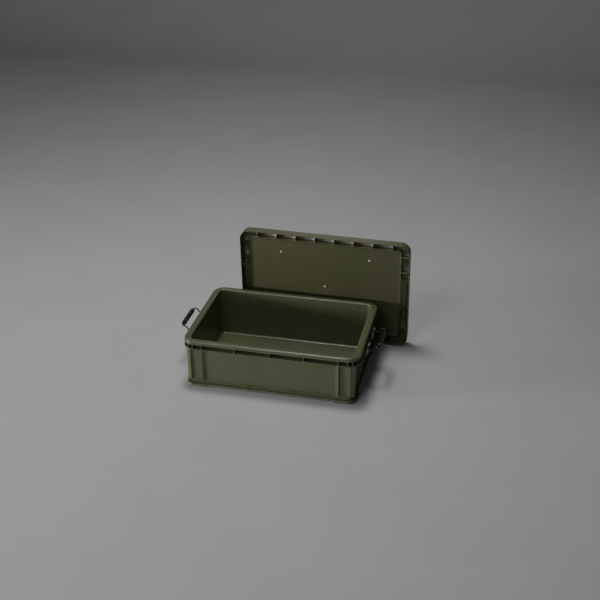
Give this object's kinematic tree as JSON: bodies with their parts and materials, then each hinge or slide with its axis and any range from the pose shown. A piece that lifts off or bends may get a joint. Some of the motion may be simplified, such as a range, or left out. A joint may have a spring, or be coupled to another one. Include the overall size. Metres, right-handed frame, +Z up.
{
  "type": "storage tote with lift-off lid",
  "caption": "Low rectangular plastic tote with a separate lift-off lid leaning behind it and a swing handle on a wire bail at each end that folds in over the rim.",
  "frame": {"origin": "on the floor, at the centre of the tote's flat underside", "axes": "+Z up out of the tote's open top, +X along the tote's long side towards its right handle, +Y towards the lid standing behind it"},
  "size_m": [0.677, 0.4078, 0.3644],
  "materials": {
    "olive_plastic": "satin moulded polypropylene",
    "olive_lid_plastic": "satin moulded polypropylene",
    "black_wire": "black coated steel wire",
    "black_grip": "semi-gloss moulded black plastic",
    "zinc_steel": "bright zinc plated",
    "rivet_steel": "bright zinc plated"
  },
  "bodies": {
    "tote": {"tote_body": "olive_plastic", "left_front_bracket": "zinc_steel", "left_back_bracket": "zinc_steel", "right_front_bracket": "zinc_steel", "right_back_bracket": "zinc_steel", "left_front_lower_rivet": "rivet_steel", "left_front_upper_rivet": "rivet_steel", "left_back_lower_rivet": "rivet_steel", "left_back_upper_rivet": "rivet_steel", "right_front_lower_rivet": "rivet_steel", "right_front_upper_rivet": "rivet_steel", "right_back_lower_rivet": "rivet_steel", "right_back_upper_rivet": "rivet_steel"},
    "lid": {"lid": "olive_lid_plastic"},
    "left_handle": {"left_bail": "black_wire", "left_grip": "black_grip"},
    "right_handle": {"right_bail": "black_wire", "right_grip": "black_grip"}
  },
  "joints": [
    {"name": "lid_lift", "type": "slide", "parent": "tote", "child": "lid", "axis": [0, 0, 1], "range_m": [0, 0.25]},
    {"name": "left_handle_hinge", "type": "hinge", "parent": "tote", "child": "left_handle", "pos_m": [-0.2755, 0, 0.134], "axis": [0, 1, 0], "range_deg": [0, 100]},
    {"name": "right_handle_hinge", "type": "hinge", "parent": "tote", "child": "right_handle", "pos_m": [0.2755, 0, 0.134], "axis": [0, -1, 0], "range_deg": [0, 100]}
  ]
}
